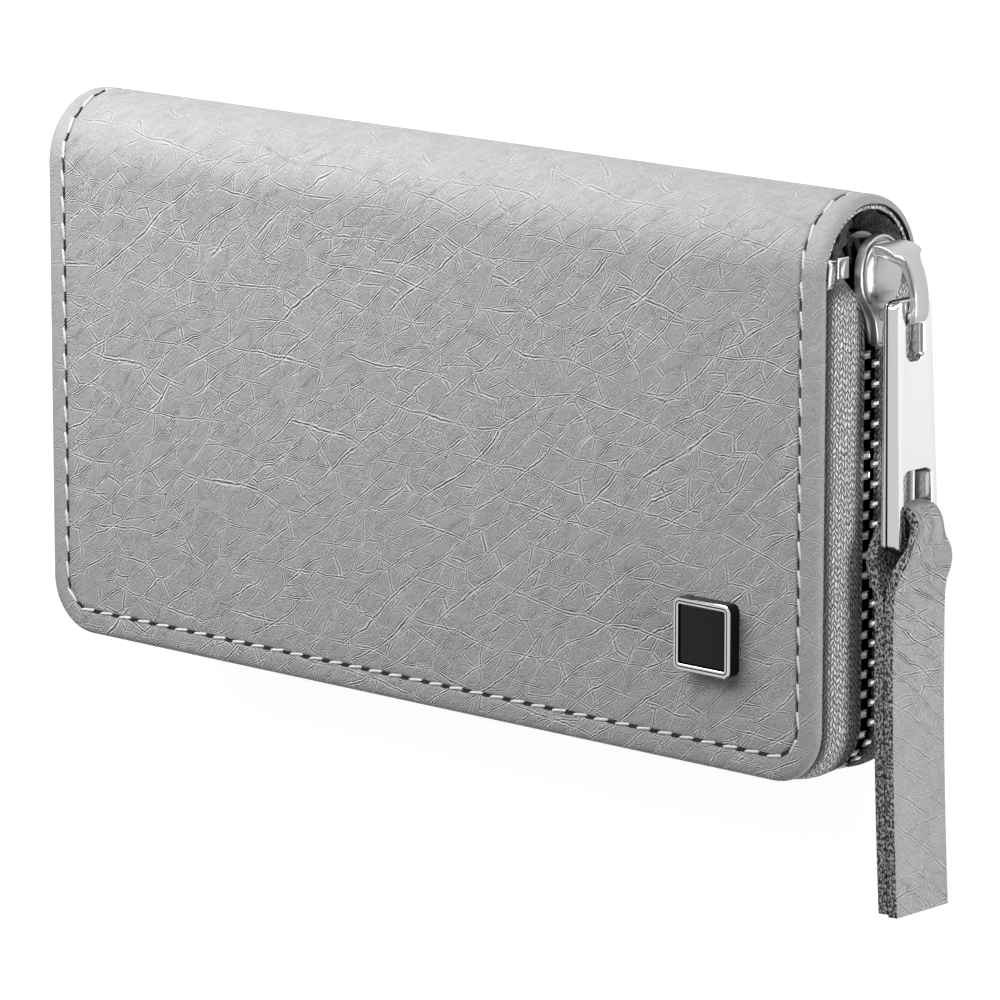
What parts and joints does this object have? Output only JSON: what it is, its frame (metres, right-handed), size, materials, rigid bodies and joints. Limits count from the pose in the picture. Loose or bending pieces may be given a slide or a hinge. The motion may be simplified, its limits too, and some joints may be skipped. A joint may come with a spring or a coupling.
{
  "type": "manicure set case",
  "caption": "Zip-around leather case for a manicure set with a rounded spine, a metal zip with slider, pull and leather strap, and a small square badge.",
  "frame": {"origin": "centre of the back cover's outer face, on which the closed case lies", "axes": "+X along the spine towards the zip slider's end, +Y from the zip edge to the spine, +Z out of the front cover"},
  "size_m": [0.14, 0.0848, 0.0198],
  "materials": {
    "leather": "pebbled grey leather, satin",
    "board": "plain stiffening board",
    "lining": "dark smooth lining",
    "tape": "dark herringbone zip tape",
    "teeth": "polished metal teeth",
    "chrome": "polished chrome plate",
    "holder": "dark padded holder",
    "elastic": "black ribbed elastic",
    "tool": "brushed tool steel",
    "grip": "black plastic handle",
    "enamel": "black enamel",
    "strap": "grey leather with a raw dark edge"
  },
  "bodies": {
    "back_cover": {"back_leather": "leather", "back_board": "board", "back_lining": "lining", "back_tape": "tape", "back_teeth": "teeth", "back_run_teeth": "teeth", "back_stop": "teeth", "back_holder": "holder", "back_bands": "elastic", "scissors_under": "tool", "scissors_over": "tool", "scissors_screw": "tool", "clipper_jaws": "tool", "clipper_lever": "tool", "clipper_pin": "tool"},
    "spine_1": {"spine_leather_1": "leather", "spine_lining_1": "lining"},
    "spine_2": {"spine_leather_2": "leather", "spine_lining_2": "lining"},
    "spine_3": {"spine_leather_3": "leather", "spine_lining_3": "lining"},
    "spine_4": {"spine_leather_4": "leather", "spine_lining_4": "lining"},
    "spine_5": {"spine_leather_5": "leather", "spine_lining_5": "lining"},
    "front_cover": {"front_leather": "leather", "front_board": "board", "front_lining": "lining", "front_tape": "tape", "front_teeth": "teeth", "front_run_teeth": "teeth", "front_stop": "teeth", "badge_frame": "chrome", "badge_inlay": "enamel", "front_holder": "holder", "front_bands": "elastic", "file_blade": "tool", "file_handle": "grip", "tweezers": "tool", "pusher": "tool"},
    "slider": {"slider_body": "chrome", "slider_crown": "chrome"},
    "pull": {"zip_pull": "chrome"},
    "strap": {"pull_strap": "strap"}
  },
  "joints": [
    {"name": "back_fold", "type": "hinge", "parent": "back_cover", "child": "spine_1", "pos_m": [0, 0.026, 0], "axis": [-1, 0, 0], "range_deg": [0, 18]},
    {"name": "spine_fold_1", "type": "hinge", "parent": "spine_1", "child": "spine_2", "pos_m": [0, 0.03129, 0.00172], "axis": [-1, 0, 0], "range_deg": [0, 36]},
    {"name": "spine_fold_2", "type": "hinge", "parent": "spine_2", "child": "spine_3", "pos_m": [0, 0.03456, 0.00622], "axis": [-1, 0, 0], "range_deg": [0, 36]},
    {"name": "spine_fold_3", "type": "hinge", "parent": "spine_3", "child": "spine_4", "pos_m": [0, 0.03456, 0.01178], "axis": [-1, 0, 0], "range_deg": [0, 36]},
    {"name": "spine_fold_4", "type": "hinge", "parent": "spine_4", "child": "spine_5", "pos_m": [0, 0.03129, 0.01628], "axis": [-1, 0, 0], "range_deg": [0, 36]},
    {"name": "front_fold", "type": "hinge", "parent": "spine_5", "child": "front_cover", "pos_m": [0, 0.026, 0.018], "axis": [-1, 0, 0], "range_deg": [0, 18]},
    {"name": "slider_travel", "type": "slide", "parent": "back_cover", "child": "slider", "axis": [0, -1, 0], "range_m": [0, 0.036], "deforming": ["back_run_teeth", "front_run_teeth"]},
    {"name": "pull_swing", "type": "hinge", "parent": "slider", "child": "pull", "pos_m": [0.07068, 0.0227, 0.009], "axis": [0, 0, 1], "range_deg": [0, 150]},
    {"name": "strap_swing", "type": "hinge", "parent": "pull", "child": "strap", "pos_m": [0.07175, -0.00528, 0.009], "axis": [0, 0, 1], "range_deg": [0, 40]}
  ]
}
